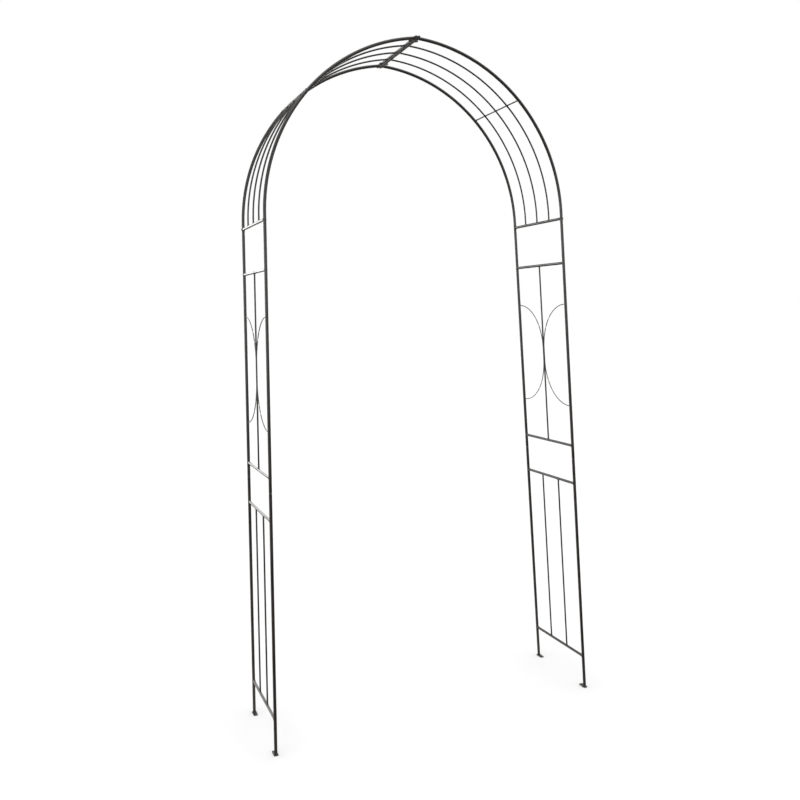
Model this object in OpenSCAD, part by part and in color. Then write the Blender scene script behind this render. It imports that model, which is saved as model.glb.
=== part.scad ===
// Metal trellis arch for a garden path.
// Two legs and a pointed round arch, made as six welded sections that plug and bolt together.
// X runs across the path, Y runs along it, Z is up. The origin is on the ground, at the middle.
// Millimetres and degrees throughout.

/* [Overall] */
// Distance across the path between the leg axes, at the ground
foot_span = 1220; // [900:10:1600]
// Distance along the path between the front and rear post axes
post_gap = 350; // [250:5:500]
// Inward lean of both legs, from the vertical
leg_lean = 2; // [0:0.5:4]
// Bend radius of the arch, at the tube axis
arch_radius = 600; // [560:5:700]

/* [Distances up the leg] */
// From the ground to the bottom bar of the lower section
low_bar_height = 125; // [80:5:300]
// Between the two bars of the lower section
lower_bay = 680; // [400:10:900]
// From the top bar of the lower section up to the seam
seam_rise = 95; // [40:5:150]
// From the seam up to the bottom bar of the upper section
upper_bar_rise = 50; // [40:5:150]
// Between the two bars of the upper section
upper_bay = 680; // [440:10:900]
// From the top bar of the upper section up to the springing bar
top_bay = 160; // [60:5:300]

/* [Steel sections] */
// Outer diameter of the post and hoop tube
post_d = 11; // [10:0.5:14]
// Wall of the post and hoop tube
post_wall = 1.2; // [1:0.1:1.5]
// Outer diameter of the cross bar tube
bar_d = 10; // [8:0.5:10]
// Wall of the cross bar tube
bar_wall = 1.2; // [1:0.1:1.5]
// Diameter of the solid rods and inner hoops
rod_d = 6; // [4:0.5:7]
// Diameter of the cross rod that ties the hoops together, half way round
cross_d = 5; // [4:0.5:6]
// Diameter of the scroll wire
scroll_d = 3; // [2:0.5:4]

/* [Plug joints] */
// Length of the necked end that plugs into the next tube
neck_len = 30; // [24:1:40]
// Wall of the necked end
neck_wall = 1.2; // [1:0.1:1.4]
// Difference in diameter between a neck and its socket
plug_clearance = 0.3; // [0.2:0.05:0.6]
// Straight tube in the foot of a hoop past the neck, before the bend
hoop_spare = 5; // [2:1:40]
// Distance from the foot of a hoop up to the springing bar
spring_bar_rise = 15; // [10:1:20]
// Diameter of the screw that locks a hoop to its post
screw_d = 4; // [3:0.5:5]
// Width across the corners of the screw head
screw_head_d = 7; // [6:0.5:10]
// Thickness of the screw head
screw_head_t = 2; // [1.5:0.5:4]

/* [Crown] */
// How far the crown bars stand past the hoops at each end
crown_overhang = 9; // [5:1:20]
// Distance from a hoop axis to the crown bolt beside it
crown_bolt_inset = 30; // [20:1:40]
// Diameter of the crown bolt
bolt_d = 5; // [4:0.5:6]
// Difference in diameter between the crown bolt and its hole
bolt_clearance = 0.4; // [0.2:0.1:0.8]
// Width across the corners of the bolt head and the nut
hex_d = 9; // [8:0.5:10]
// Thickness of the bolt head
bolt_head_t = 3.5; // [3:0.5:5]
// Thickness of the nut
nut_t = 4; // [3:0.5:5]
// Bolt thread left showing past the nut
bolt_spare = 4; // [2:0.5:8]
// Diameter of the saddle washer
washer_d = 9.5; // [9:0.5:10]
// Thickness of the saddle washer over the crest of the bar
washer_t = 1.5; // [1:0.5:2]
// Thickness of the rim of the plug in each end of a crown bar
plug_rim_t = 2.5; // [1.5:0.5:4]
// Depth of the plug inside the crown bar
plug_depth = 8; // [5:1:12]

/* [Scrolls and cross rods] */
// Straight tail of the scroll wire, from the end of a bend to the post axis
scroll_tail = 5.8; // [4:0.2:40]
// Length of the straight belly that is welded to the centre rod
scroll_flat = 50; // [10:2:80]
// Depth of the seat where a scroll or a cross rod is pressed against a rod
weld_seat = 0.3; // [0.1:0.1:0.5]
// How far a cross rod runs over the outer hoops, short of their axis
cross_lap = 3; // [2:0.5:4]

/* [Feet] */
// Length of a foot plate along the path
foot_len = 38; // [32:1:60]
// Width of a foot plate across the path
foot_w = 16; // [14:1:40]
// Thickness of a foot plate
foot_t = 3; // [2:0.5:5]
// Distance from the post axis to the outer end of its foot plate
foot_heel = 9; // [7:0.5:12]
// Distance from the post axis to the peg hole
peg_inset = 20; // [14:1:25]
// Diameter of the peg hole
peg_hole_d = 6.5; // [5:0.5:9]

/* [Hidden] */
$fn = 48;
LEFT = -1;
RIGHT = 1;
FRONT = -1;
REAR = 1;
PAINT = "#2b2826";
ROD_PAINT = "#34302e";
ZINC = "#8d9094";
PLASTIC = "#171717";

post_r = post_d / 2;
post_bore = post_d - 2 * post_wall;
bar_r = bar_d / 2;
bar_bore = bar_d - 2 * bar_wall;
rod_r = rod_d / 2;
scroll_r = scroll_d / 2;
neck_d = post_bore - plug_clearance;
neck_bore = neck_d - 2 * neck_wall;

// Tubes are drawn longer than they need to be where a neighbour or the ground trims them.
trim = 20;
// A hoop or bar stops this far short of the axis of the bar it is coped around.
cope_short = bar_r * 0.4;

// Places along the leg axis, from the ground up.
mid_bar_height = low_bar_height + lower_bay;
leg_seam_height = mid_bar_height + seam_rise;
upper_bar_height = leg_seam_height + upper_bar_rise;
high_bar_height = upper_bar_height + upper_bay;
spring_bar_height = high_bar_height + top_bay;
hoop_foot = spring_bar_height - spring_bar_rise;
arch_start = hoop_foot + neck_len + hoop_spare;

// A scroll fills the space from the centre rod to the post, half way up the upper bay.
scroll_height = upper_bar_height + upper_bay / 2;
scroll_belly = rod_r + scroll_r - weld_seat;
scroll_radius = post_gap / 2 - scroll_belly - scroll_tail;

// Centre of the arch bend, measured in the upright plane of a hoop.
bend_x = foot_span / 2 - arch_start * sin(leg_lean) - arch_radius * cos(leg_lean);
bend_z = arch_start * cos(leg_lean) - arch_radius * sin(leg_lean);

// The two crown bars touch at the middle of the arch, so each axis is half a bar from it.
crown_angle = acos((bar_r - bend_x) / arch_radius);
crown_z = bend_z + arch_radius * sin(crown_angle);
hoop_sweep = crown_angle - leg_lean - asin(cope_short / arch_radius);
crown_bar_len = post_gap + post_d + 2 * crown_overhang;
crown_bolt_y = post_gap / 2 - crown_bolt_inset;

// The cross rod of the arch lies over the inner hoops, half way round.
cross_r = cross_d / 2;
cross_angle = (crown_angle - leg_lean) / 2;
cross_radius = arch_radius + rod_r + cross_r - weld_seat;
cross_reach = post_gap / 2 - cross_lap;

// Lower rods stand at thirds of the gap and inner hoops at quarters.
lower_rod_y = post_gap / 6;
inner_hoop_y = post_gap / 4;

// ---- frames -------------------------------------------------------------------------

// Draws children on the right, or turned half round onto the left. The turn swaps front and
// rear, so a row or a place along the path is multiplied by side before it is used in here.
module on_side(side) {
    rotate([0, 0, side == LEFT ? 180 : 0]) children();
}

// Local Z runs up the axis of the right leg, and local X points away from the path.
module leg() {
    translate([foot_span / 2, 0, 0])
        rotate([0, -leg_lean, 0])
            children();
}

// Local Z of the children turns to point along the path.
module along_path() {
    rotate([-90, 0, 0]) children();
}

// Moves children out along the arch bend, at an angle up from the foot of the bend.
module at_bend(angle, radius) {
    translate([-arch_radius, 0, arch_start])
        rotate([0, -angle, 0])
            translate([radius, 0, 0])
                children();
}

// ---- stock --------------------------------------------------------------------------

// Round bar or tube along Z, from one height to another. A bore of 0 leaves it solid.
module stock(d, bore, from, to) {
    difference() {
        translate([0, 0, from]) cylinder(d = d, h = to - from);
        if (bore > 0)
            translate([0, 0, from - 1]) cylinder(d = bore, h = to - from + 2);
    }
}

// Arc of round bar or tube in the plane of a hoop, from one angle by a sweep.
module bent_stock(d, bore, radius, from, sweep) {
    translate([-arch_radius, 0, arch_start])
        rotate([90, 0, 0])
            rotate_extrude(angle = sweep, start = from, $fn = 180)
                translate([radius, 0])
                    difference() {
                        circle(d = d, $fn = 48);
                        if (bore > 0) circle(d = bore, $fn = 48);
                    }
}

// Solid that a post of the given row fills, used to cope what is welded to it.
module post_space(row) {
    translate([0, row * post_gap / 2, -trim])
        cylinder(d = post_d, h = arch_start + 2 * trim);
}

// Solid that a bar fills at a height on the leg.
module bar_space(height) {
    translate([0, 0, height])
        along_path()
            cylinder(d = bar_d, h = post_gap, center = true);
}

// Solid that a crown bar fills.
module crown_space() {
    translate([bar_r, 0, crown_z])
        rotate([-90, 0, 180])
            cylinder(d = bar_d, h = crown_bar_len, center = true);
}

// ---- feet ---------------------------------------------------------------------------

// Flat plate under a post, reaching in along the path to the peg hole.
module foot(side, row) {
    turn = side * row;
    heel_y = turn * (post_gap / 2 + foot_heel);
    toe_y = heel_y - turn * foot_len;
    color(PAINT)
        on_side(side)
            translate([foot_span / 2, 0, 0])
                difference() {
                    translate([-foot_w / 2, min(heel_y, toe_y), 0])
                        cube([foot_w, foot_len, foot_t]);
                    translate([0, turn * (post_gap / 2 - peg_inset), -1])
                        cylinder(d = peg_hole_d, h = foot_t + 2);
                }
}

// ---- legs ---------------------------------------------------------------------------

// Tube with a necked top end, standing in its row from one seam to the next.
module necked_post(row, from, to) {
    translate([0, row * post_gap / 2, 0]) {
        stock(post_d, post_bore, from, to - post_wall);
        stock(post_d, neck_bore, to - post_wall, to);
        stock(neck_d, neck_bore, to, to + neck_len);
    }
}

module lower_post(side, row) {
    color(PAINT)
        on_side(side)
            difference() {
                leg() necked_post(side * row, -trim, leg_seam_height);
                translate([0, -post_gap, foot_t - 2 * trim])
                    cube([foot_span, 2 * post_gap, 2 * trim]);
            }
}

module upper_post(side, row) {
    color(PAINT)
        on_side(side)
            leg()
                difference() {
                    necked_post(side * row, leg_seam_height, hoop_foot);
                    spring_screw_hole(side * row);
                }
}

// Cross bar between the two posts of a leg, coped to both.
module leg_bar(side, height) {
    color(PAINT)
        on_side(side)
            leg()
                difference() {
                    translate([0, 0, height])
                        along_path()
                            stock(bar_d, bar_bore, -post_gap / 2, post_gap / 2);
                    for (row = [FRONT, REAR]) post_space(row);
                }
}

// Solid rod between two bars of a leg, coped to both.
module leg_rod(side, y, low_bar, high_bar) {
    color(ROD_PAINT)
        on_side(side)
            leg()
                difference() {
                    translate([0, side * y, 0]) stock(rod_d, 0, low_bar, high_bar);
                    bar_space(low_bar);
                    bar_space(high_bar);
                }
}

// Quarter bend of scroll wire that leaves the belly upwards and turns outwards to the post.
module scroll_bend() {
    translate([0, 0, scroll_flat / 2])
        rotate([90, 0, 90])
            translate([scroll_radius, 0, 0])
                rotate_extrude(angle = 90, start = 90, $fn = 120)
                    translate([scroll_radius, 0])
                        circle(r = scroll_r, $fn = 24);
}

// Straight tail of scroll wire, from a bend to the axis of the post.
module scroll_end() {
    translate([0, scroll_radius, scroll_flat / 2 + scroll_radius])
        along_path()
            cylinder(r = scroll_r, h = scroll_tail);
}

// D-shaped wire scroll, with its belly seated on the centre rod and its ends on a post.
module scroll(side, row) {
    turn = side * row;
    color(ROD_PAINT)
        on_side(side)
            leg()
                difference() {
                    translate([0, turn * scroll_belly, scroll_height])
                        rotate([0, 0, turn == FRONT ? 180 : 0]) {
                            stock(scroll_d, 0, -scroll_flat / 2, scroll_flat / 2);
                            for (end = [0, 1])
                                rotate([0, 180 * end, 0]) {
                                    scroll_bend();
                                    scroll_end();
                                }
                        }
                    post_space(turn);
                    stock(rod_d, 0, upper_bar_height, high_bar_height);
                }
}

// ---- arch ---------------------------------------------------------------------------

// Outer hoop of tube: straight where the post plugs in, then bent up to the crown bar.
module outer_hoop(side, row) {
    color(PAINT)
        on_side(side)
            difference() {
                leg()
                    translate([0, side * row * post_gap / 2, 0]) {
                        stock(post_d, post_bore, hoop_foot, arch_start);
                        bent_stock(post_d, post_bore, arch_radius, 0, hoop_sweep);
                    }
                leg() spring_screw_hole(side * row);
                crown_space();
            }
}

// Inner hoop of solid rod, from the springing bar to the crown bar.
module inner_hoop(side, y) {
    color(ROD_PAINT)
        on_side(side)
            difference() {
                leg()
                    translate([0, side * y, 0]) {
                        stock(rod_d, 0, spring_bar_height, arch_start);
                        bent_stock(rod_d, 0, arch_radius, 0, hoop_sweep);
                    }
                leg() bar_space(spring_bar_height);
                crown_space();
            }
}

// Solid rod across the top of the inner hoops, coped to all five hoops.
module cross_rod(side) {
    color(ROD_PAINT)
        on_side(side)
            leg()
                difference() {
                    at_bend(cross_angle, cross_radius)
                        along_path()
                            stock(cross_d, 0, -cross_reach, cross_reach);
                    for (row = [FRONT, REAR])
                        translate([0, row * post_gap / 2, 0])
                            bent_stock(post_d, 0, arch_radius, cross_angle - 5, 10);
                    for (y = [-inner_hoop_y, 0, inner_hoop_y])
                        translate([0, y, 0])
                            bent_stock(rod_d, 0, arch_radius, cross_angle - 5, 10);
                }
}

module crown_bar(side) {
    color(PAINT)
        on_side(side)
            difference() {
                translate([bar_r, 0, crown_z])
                    along_path()
                        stock(bar_d, bar_bore, -crown_bar_len / 2, crown_bar_len / 2);
                crown_bolt_holes();
            }
}

// ---- fasteners ----------------------------------------------------------------------

// Points local Z across the path at both crown bolts, with its zero between the crown bars.
module at_crown_bolts() {
    for (row = [FRONT, REAR])
        translate([0, row * crown_bolt_y, crown_z])
            rotate([0, 90, 0])
                children();
}

module crown_bolt_holes() {
    at_crown_bolts()
        cylinder(d = bolt_d + bolt_clearance, h = 3 * bar_d, center = true);
}

// Hex bolts that clamp the two crown bars together.
module crown_bolts() {
    seat = bar_d + washer_t;
    color(ZINC)
        at_crown_bolts() {
            translate([0, 0, -seat - bolt_head_t]) cylinder(d = hex_d, h = bolt_head_t, $fn = 6);
            translate([0, 0, -seat]) cylinder(d = bolt_d, h = 2 * seat + nut_t + bolt_spare);
        }
}

module crown_nuts() {
    color(ZINC)
        at_crown_bolts()
            translate([0, 0, bar_d + washer_t])
                difference() {
                    cylinder(d = hex_d, h = nut_t, $fn = 6);
                    translate([0, 0, -1]) cylinder(d = bolt_d, h = nut_t + 2);
                }
}

// Washers with one hollow side, so that a head or nut sits square on a round bar.
module crown_saddle_washers() {
    color(ZINC)
        difference() {
            at_crown_bolts()
                for (end = [0, 1])
                    rotate([0, 180 * end, 0])
                        translate([0, 0, bar_r])
                            cylinder(d = washer_d, h = bar_r + washer_t);
            crown_bolt_holes();
            for (side = [LEFT, RIGHT]) on_side(side) crown_space();
        }
}

// Plastic plugs that close the four open ends of the crown bars.
module crown_end_plugs() {
    color(PLASTIC)
        for (side = [LEFT, RIGHT], row = [FRONT, REAR])
            on_side(side)
                translate([bar_r, row * crown_bar_len / 2, crown_z])
                    rotate([0, 0, row == FRONT ? 180 : 0])
                        along_path() {
                            stock(bar_bore, 0, -plug_depth, 0);
                            stock(bar_d, 0, 0, plug_rim_t);
                        }
}

// Points local Z away from the path at the screw that locks a hoop to its post.
module at_spring_screw(row) {
    translate([0, row * post_gap / 2, spring_bar_height])
        rotate([0, 90, 0])
            children();
}

module spring_screw_hole(row) {
    at_spring_screw(row)
        cylinder(d = screw_d, h = post_d);
}

// Hex screws that end at the axis of the post, with heads flat against the round of the hoop.
module spring_screws() {
    color(ZINC)
        for (side = [LEFT, RIGHT], row = [FRONT, REAR])
            on_side(side)
                leg()
                    at_spring_screw(row) {
                        cylinder(d = screw_d, h = post_r);
                        translate([0, 0, post_r])
                            cylinder(d = screw_head_d, h = screw_head_t, $fn = 6);
                    }
}

// ---- nodes --------------------------------------------------------------------------

foot(LEFT, FRONT);  // left_front_foot
foot(LEFT, REAR);  // left_rear_foot
foot(RIGHT, FRONT);  // right_front_foot
foot(RIGHT, REAR);  // right_rear_foot

lower_post(LEFT, FRONT);  // left_lower_front_post
lower_post(LEFT, REAR);  // left_lower_rear_post
leg_bar(LEFT, low_bar_height);  // left_lower_bottom_bar
leg_bar(LEFT, mid_bar_height);  // left_lower_top_bar
leg_rod(LEFT, -lower_rod_y, low_bar_height, mid_bar_height);  // left_lower_front_rod
leg_rod(LEFT, lower_rod_y, low_bar_height, mid_bar_height);  // left_lower_rear_rod
lower_post(RIGHT, FRONT);  // right_lower_front_post
lower_post(RIGHT, REAR);  // right_lower_rear_post
leg_bar(RIGHT, low_bar_height);  // right_lower_bottom_bar
leg_bar(RIGHT, mid_bar_height);  // right_lower_top_bar
leg_rod(RIGHT, -lower_rod_y, low_bar_height, mid_bar_height);  // right_lower_front_rod
leg_rod(RIGHT, lower_rod_y, low_bar_height, mid_bar_height);  // right_lower_rear_rod

upper_post(LEFT, FRONT);  // left_upper_front_post
upper_post(LEFT, REAR);  // left_upper_rear_post
leg_bar(LEFT, upper_bar_height);  // left_upper_bottom_bar
leg_bar(LEFT, high_bar_height);  // left_upper_top_bar
leg_rod(LEFT, 0, upper_bar_height, high_bar_height);  // left_upper_centre_rod
scroll(LEFT, FRONT);  // left_upper_front_scroll
scroll(LEFT, REAR);  // left_upper_rear_scroll
upper_post(RIGHT, FRONT);  // right_upper_front_post
upper_post(RIGHT, REAR);  // right_upper_rear_post
leg_bar(RIGHT, upper_bar_height);  // right_upper_bottom_bar
leg_bar(RIGHT, high_bar_height);  // right_upper_top_bar
leg_rod(RIGHT, 0, upper_bar_height, high_bar_height);  // right_upper_centre_rod
scroll(RIGHT, FRONT);  // right_upper_front_scroll
scroll(RIGHT, REAR);  // right_upper_rear_scroll

outer_hoop(LEFT, FRONT);  // left_arch_front_hoop
outer_hoop(LEFT, REAR);  // left_arch_rear_hoop
inner_hoop(LEFT, -inner_hoop_y);  // left_arch_inner_front_hoop
inner_hoop(LEFT, 0);  // left_arch_inner_centre_hoop
inner_hoop(LEFT, inner_hoop_y);  // left_arch_inner_rear_hoop
leg_bar(LEFT, spring_bar_height);  // left_arch_spring_bar
cross_rod(LEFT);  // left_arch_cross_rod
crown_bar(LEFT);  // left_arch_crown_bar
outer_hoop(RIGHT, FRONT);  // right_arch_front_hoop
outer_hoop(RIGHT, REAR);  // right_arch_rear_hoop
inner_hoop(RIGHT, -inner_hoop_y);  // right_arch_inner_front_hoop
inner_hoop(RIGHT, 0);  // right_arch_inner_centre_hoop
inner_hoop(RIGHT, inner_hoop_y);  // right_arch_inner_rear_hoop
leg_bar(RIGHT, spring_bar_height);  // right_arch_spring_bar
cross_rod(RIGHT);  // right_arch_cross_rod
crown_bar(RIGHT);  // right_arch_crown_bar

crown_bolts();
crown_nuts();
crown_saddle_washers();
crown_end_plugs();
spring_screws();
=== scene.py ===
# %% [markdown]
# # A steel trellis arch for a garden path
#
# This lesson dresses a finished engineering model. The model is a round-topped garden arch, welded
# from thin painted tube and rod, in six sections that plug into each other and bolt at the crown.
# The engineering file already holds the true sizes, so nothing is resized here. What Blender adds
# is what a welder, a paint shop and some handling add: rounded tube ends, weld beads, threads on
# the bolts, and a satin paint that is not one flat colour.
#
# The first cell loads the engineering model and keeps its pieces, whose boxes give the sizes below.

# %% Load the engineering model
import math
import random

import bpy
import numpy as np
from mathutils import Matrix, Vector


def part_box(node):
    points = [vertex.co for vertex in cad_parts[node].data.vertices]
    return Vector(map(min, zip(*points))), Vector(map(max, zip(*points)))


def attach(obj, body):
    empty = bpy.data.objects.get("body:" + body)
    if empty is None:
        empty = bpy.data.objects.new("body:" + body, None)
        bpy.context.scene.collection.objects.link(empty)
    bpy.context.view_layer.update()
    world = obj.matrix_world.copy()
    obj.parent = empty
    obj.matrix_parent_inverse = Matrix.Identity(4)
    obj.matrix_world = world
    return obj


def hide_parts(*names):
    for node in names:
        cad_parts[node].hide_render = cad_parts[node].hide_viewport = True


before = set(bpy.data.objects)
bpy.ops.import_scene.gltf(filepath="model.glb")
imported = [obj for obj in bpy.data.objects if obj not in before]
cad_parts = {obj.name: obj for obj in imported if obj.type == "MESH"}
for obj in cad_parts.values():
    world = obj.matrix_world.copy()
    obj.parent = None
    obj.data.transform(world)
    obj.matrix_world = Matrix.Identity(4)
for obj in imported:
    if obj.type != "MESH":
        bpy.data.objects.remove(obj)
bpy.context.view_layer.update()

print("nodes in the frame:", len(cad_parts))

# %% [markdown]
# ## Reading the sizes off the model
#
# Every piece of the arch is a tube or a rod along a line or an arc, so a handful of numbers
# describes it. They could be typed in again, but then the two models could drift apart. Here they
# are read from the boxes round the engineering pieces instead. A box round a level bar has its
# middle on the bar's axis, so the middles of the lowest and the highest bar of a leg give the
# line that the leaning leg stands on.

# %% Sizes and the leg line
MM = 0.001
LEFT, RIGHT = -1, 1
FRONT, REAR = -1, 1
SIDES = {"left": LEFT, "right": RIGHT}
ROWS = {"front": FRONT, "rear": REAR}
ALONG = Vector((0, 1, 0))


def middle(name):
    """The middle of the box round an engineering piece."""
    low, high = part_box(name)
    return (low + high) / 2


def extent(name):
    """The three sizes of that box."""
    low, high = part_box(name)
    return high - low


tube_r = extent("right_lower_front_post").y / 2
bar_r = extent("right_lower_bottom_bar").z / 2
rod_r = extent("right_upper_centre_rod").y / 2
cross_r = extent("right_arch_cross_rod").z / 2
half_gap = -middle("right_lower_front_post").y
plate_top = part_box("right_front_foot")[1].z
bottom_bar = middle("right_lower_bottom_bar")
spring_bar = middle("right_arch_spring_bar")
leg_up = (spring_bar - bottom_bar).normalized()
leg_out = Vector((leg_up.z, 0, -leg_up.x))


def on_leg(height, row_y=0.0):
    """The point of the right leg's axis at a height above the ground."""
    steps = (height - bottom_bar.z) / leg_up.z
    return bottom_bar + leg_up * steps + ALONG * row_y


print(f"tube {2 * tube_r / MM:.1f} mm, bar {2 * bar_r / MM:.1f} mm, rod {2 * rod_r / MM:.1f} mm")
print(f"the legs lean in by {math.degrees(math.acos(leg_up.z)):.2f} degrees")

# %% [markdown]
# ## Finding the arc of the hoops
#
# A hoop is bent to one radius. The rearmost points of its engineering mesh lie beside its axis, so
# seen from the front they lie on the arc of the bend. A circle through many points is a
# straight-line problem in disguise: x*x + z*z = 2*a*x + 2*b*z + c is linear in a, b and c, so
# least squares finds the centre (a, b) at once, with no guessing.

# %% Fit the arc
STRAIGHT_FOOT = 60 * MM
EDGE_BAND = 0.02 * MM


def arc_of(name):
    """Centre x, centre z and radius of the bend of a hoop."""
    points = np.array([v.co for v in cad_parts[name].data.vertices])
    rearmost = points[:, 1] > points[:, 1].max() - EDGE_BAND
    in_bend = points[:, 2] > points[:, 2].min() + STRAIGHT_FOOT
    x, z = points[rearmost & in_bend][:, [0, 2]].T
    terms = np.column_stack([2 * x, 2 * z, np.ones(len(x))])
    a, b, c = np.linalg.lstsq(terms, x * x + z * z, rcond=None)[0]
    return float(a), float(b), math.sqrt(c + a * a + b * b)


bend_x, bend_z, bend_r = arc_of("right_arch_inner_centre_hoop")
crown = middle("right_arch_crown_bar")
crown_angle = math.atan2(crown.z - bend_z, crown.x - bend_x)
crown_stop = crown_angle - 2 * math.asin(bar_r / 2 / bend_r)
bend_start = math.acos(leg_up.z)
print(f"bend radius {bend_r / MM:.1f} mm, crown at {math.degrees(crown_angle):.1f} degrees")


def on_arc(angle, row_y=0.0):
    """A point on the axis of the right half's bend, at an angle up from level."""
    return Vector((bend_x + bend_r * math.cos(angle), row_y, bend_z + bend_r * math.sin(angle)))


def arc_way(angle):
    """The direction in which the bend climbs at that angle."""
    return Vector((-math.sin(angle), 0, math.cos(angle)))


# %% [markdown]
# ## One tool for every round thing: the loft
#
# Blender's own cylinder is a stand-in: flat ends, no bore, no trace of how it was made. A curve
# with a bevel gives tubes, but not ends that are cut to fit round another tube. So the pieces are
# lofted: a list of rings of points, each joined to the next by a band of faces, and a face to
# close each end. The loft also carries one number for each ring, how much that place is rubbed
# when the arch is put together. It becomes a mesh attribute that the paint reads later.
#
# The right half is drawn first. Turning it half round about the upright axis gives the left half,
# with front and rear swapped, which is why a row is multiplied by its side before it is used.

# %% The loft
class Loft:
    """Rings of points joined into closed skins, with a rub value for each ring."""

    def __init__(self, side=RIGHT):
        self.points, self.faces, self.rubs, self.side = [], [], [], side

    def add(self, rings, rubs=None, closed=False):
        count, around = len(rings), len(rings[0])
        start = len(self.points)
        for index, ring in enumerate(rings):
            self.points.extend((self.side * p.x, self.side * p.y, p.z) for p in ring)
            self.rubs.extend([float(rubs[index]) if rubs else 0.0] * around)
        for band in range(count if closed else count - 1):
            low = start + band * around
            high = start + (band + 1) % count * around
            for k in range(around):
                n = (k + 1) % around
                self.faces.append((low + k, low + n, high + n, high + k))
        if not closed:
            last = start + (count - 1) * around
            self.faces.append(tuple(start + k for k in reversed(range(around))))
            self.faces.append(tuple(last + k for k in range(around)))


def ring_of(place, way, radius, around):
    """A circle of points round a place, square to a way. radius may depend on the turn."""
    front_to_rear = abs(way.y) > 0.5  # such a way is too near ALONG to be crossed with it
    across = (way.orthogonal() if front_to_rear else way.cross(ALONG)).normalized()
    second = way.cross(across)
    ring = []
    for k in range(around):
        turn = 2 * math.pi * k / around
        size = radius(turn) if callable(radius) else radius
        ring.append(place + (across * math.cos(turn) + second * math.sin(turn)) * size)
    return ring


print("the loft is ready")

# %% [markdown]
# ## Finished ends
#
# A welder cuts the end of a bar to the shape of the post it meets, a fish-mouth cut. For two
# round tubes crossing at a right angle the rule is simple: a point at a distance d off the bar's
# axis, measured across both tubes, has to go R - sqrt(R*R - d*d) further to touch a post of
# radius R. The same rule places the weld beads later.
#
# A tube end that stays open is not sharp: the saw and the paint leave a small round. Where it is
# a socket for the next section, it is really bored out, so that the neck has somewhere to go.

# %% Ends
RIM = 0.8 * MM
RIM_STEPS = 4
BORE_LIP = 0.3 * RIM
SOCKET_DEPTH = 34 * MM
TUBE_WALL = 1.2 * MM


def end_shift(finish, off, way_out):
    """How far an end point at that offset from the axis moves outwards, for a fitted end."""
    if finish == "level":
        return -off.z / way_out.z
    if isinstance(finish, tuple):
        other_r, other_axis = finish
        across = way_out.cross(other_axis).normalized()
        return other_r - math.sqrt(max(other_r ** 2 - off.dot(across) ** 2, 0.0))
    return 0.0


def end_rings(place, way_out, way, radius, finish, around):
    """The rings of one end, from the full tube outwards."""
    if finish in ("rim", "socket"):
        rings = []
        for step in range(RIM_STEPS + 1):
            turn = math.pi / 2 * step / RIM_STEPS
            back = way_out * -RIM * (1 - math.sin(turn))
            rings.append(ring_of(place + back, way, radius - RIM * (1 - math.cos(turn)), around))
        if finish == "socket":
            bore = radius - TUBE_WALL
            rings.append(ring_of(place - way_out * BORE_LIP, way, bore, around))
            rings.append(ring_of(place - way_out * SOCKET_DEPTH, way, bore, around))
        return rings
    ring = ring_of(place, way, radius, around)
    return [[p + way_out * end_shift(finish, p - place, way_out) for p in ring]]


print(f"a rim is rounded by {RIM / MM:.1f} mm in {RIM_STEPS} steps")

# %% [markdown]
# ## Stock along a path
#
# A straight tube needs only two rings to have the right shape, but then a rub near its end would
# fade over its whole length. So the rings stand closer together near the ends, where the rubs are,
# and far apart between them. The sweep joins the two finished ends with the rings of the run, and
# works out how much each ring is rubbed from how far it is from an end.

# %% Straight runs and sweeps
AROUND_TUBE = 40
RUB_REACH = 10 * MM
NEAR_END = [2 * MM, 5 * MM, 10 * MM, 18 * MM, 32 * MM, 60 * MM]
LONG_STEP = 110 * MM


def straight(start, end):
    """Points along a straight run, closer together near its ends."""
    length = (end - start).length
    inner = [d for d in NEAR_END if d < length / 2]
    reach = inner[-1] if inner else 0.0
    count = max(1, round((length - 2 * reach) / LONG_STEP))
    places = inner + [reach + (length - 2 * reach) * k / count for k in range(1, count)]
    places += [length - d for d in reversed(inner)]
    return [start] + [start.lerp(end, d / length) for d in places] + [end]


def sweep(loft, path, radius, start=None, end=None, rub=(0, 0), around=AROUND_TUBE):
    """Round stock along a path. start and end say how each end is finished."""
    ways = [(b - a).normalized() for a, b in zip([path[0]] + path[:-1], path[1:] + [path[-1]])]
    first = end_rings(path[0], -ways[0], ways[0], radius, start, around)
    final = end_rings(path[-1], ways[-1], ways[-1], radius, end, around)
    inner = [ring_of(p, w, radius, around) for p, w in zip(path[1:-1], ways[1:-1])]
    steps = [0.0] + [(b - a).length for a, b in zip(path, path[1:])]
    along = list(np.cumsum(steps))
    places = [0.0] * len(first) + along[1:-1] + [along[-1]] * len(final)
    rubs = [max(rub[0] * math.exp(-d / RUB_REACH), rub[1] * math.exp((d - along[-1]) / RUB_REACH))
            for d in places]
    loft.add(list(reversed(first)) + inner + final, rubs)


print("stations near an end, mm:", [round(d / MM) for d in NEAR_END])

# %% [markdown]
# ## Weld beads
#
# A short electric weld leaves a raised bead round the joint, laid as a row of overlapping puddles.
# A torus would be the quick way, but it would not follow the fish-mouth cut and it would be too
# even. This bead runs along the same curve as the cut end, swells and shrinks a little with each
# puddle, and starts at a random place, as a hand-held torch does. The random numbers come from a
# seeded generator, so that the arch comes out the same each time.

# %% Beads
AROUND_BEAD = 10
POINTS_PER_PUDDLE = 5
FEWEST_PUDDLES = 5
PUDDLE = 2.2 * MM
SWELL = (0.88, 1.14)
RIPPLE = 0.13
torch = random.Random(7)


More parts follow.
